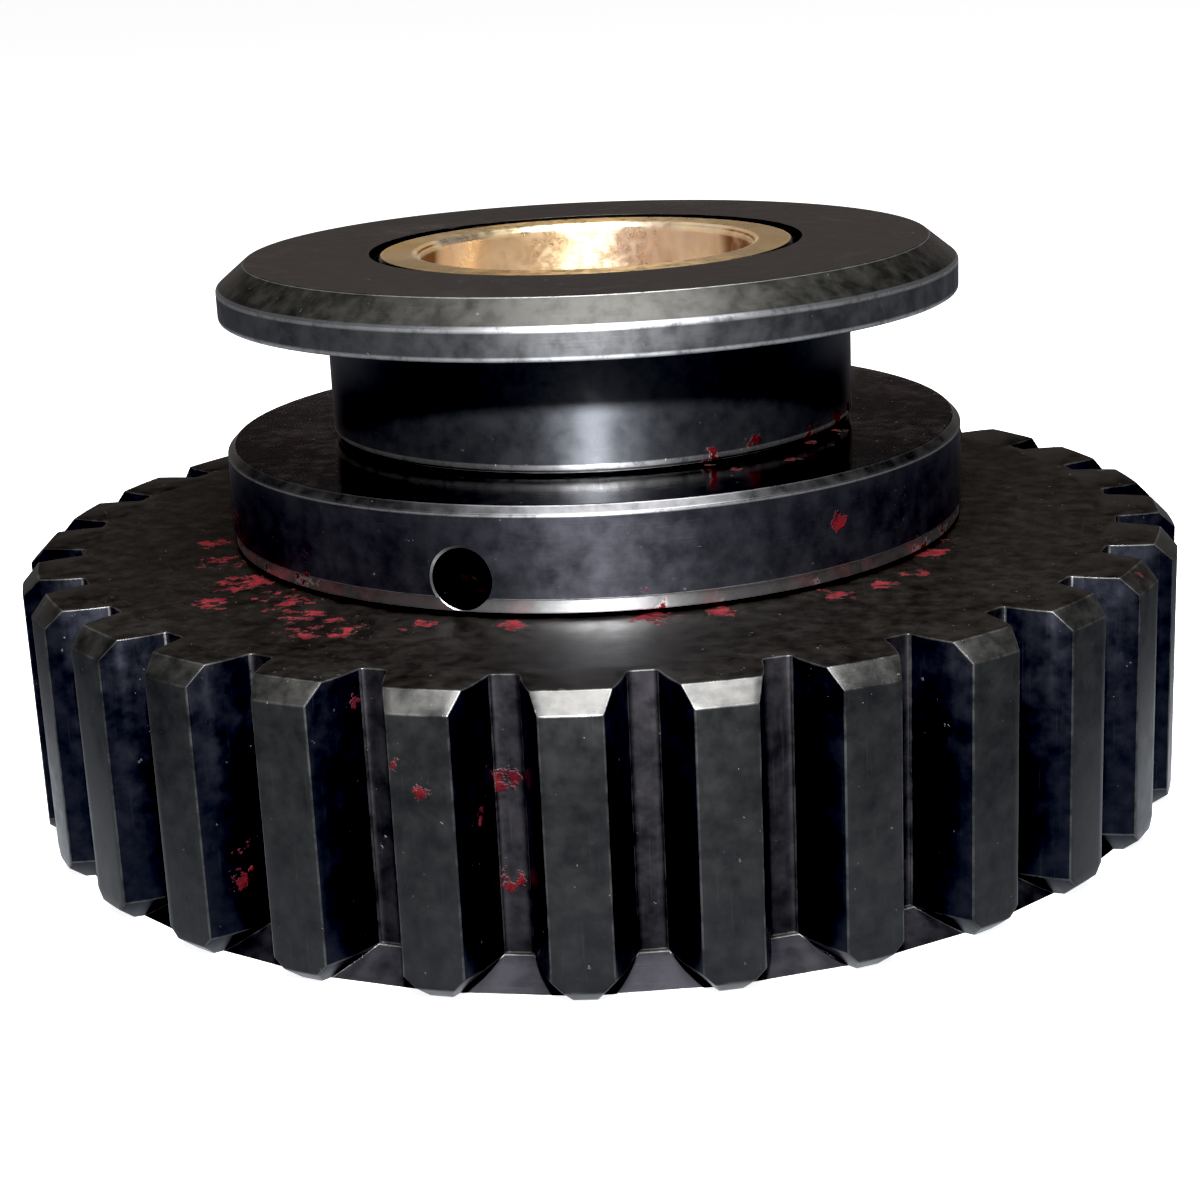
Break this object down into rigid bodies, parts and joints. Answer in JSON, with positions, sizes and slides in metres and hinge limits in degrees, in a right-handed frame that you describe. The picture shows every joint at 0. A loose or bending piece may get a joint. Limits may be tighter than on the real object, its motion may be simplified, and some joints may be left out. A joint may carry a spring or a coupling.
{
  "type": "sliding gear with fork sleeve",
  "caption": "Straight-toothed steel gear wheel keyed to a flanged fork sleeve, with a lock collar and floating bronze bushes in its bore.",
  "frame": {"origin": "centre of the gear wheel's lower face, which is the centre of the bounding box's bottom", "axes": "+Z along the gear's axis towards the flange; -Y towards the collar's set-screw hole; +X towards the drive key"},
  "size_m": [0.1239, 0.124, 0.0589],
  "materials": {
    "gear_steel": "oiled black oxide on machined steel",
    "sleeve_steel": "oiled black oxide on turned steel",
    "collar_steel": "oiled black oxide on turned steel",
    "screw_steel": "blackened, slightly browned",
    "upper_bronze": "turned bronze with a brown patina",
    "lower_bronze": "turned bronze with a brown patina",
    "key_steel": "ground steel",
    "ring_steel": "phosphated spring steel"
  },
  "bodies": {
    "gear_body": {"gear_wheel": "gear_steel", "flanged_sleeve": "sleeve_steel", "lock_collar": "collar_steel", "collar_set_screw": "screw_steel", "drive_key": "key_steel", "retaining_ring": "ring_steel"},
    "upper_bush_body": {"upper_bush": "upper_bronze"},
    "lower_bush_body": {"lower_bush": "lower_bronze"}
  },
  "joints": [
    {"name": "upper_bush_spin", "type": "hinge", "parent": "gear_body", "child": "upper_bush_body", "pos_m": [0, 0, 0.045], "axis": [0, 0, 1], "continuous": true},
    {"name": "lower_bush_spin", "type": "hinge", "parent": "gear_body", "child": "lower_bush_body", "pos_m": [0, 0, 0.0142], "axis": [0, 0, 1], "continuous": true}
  ]
}
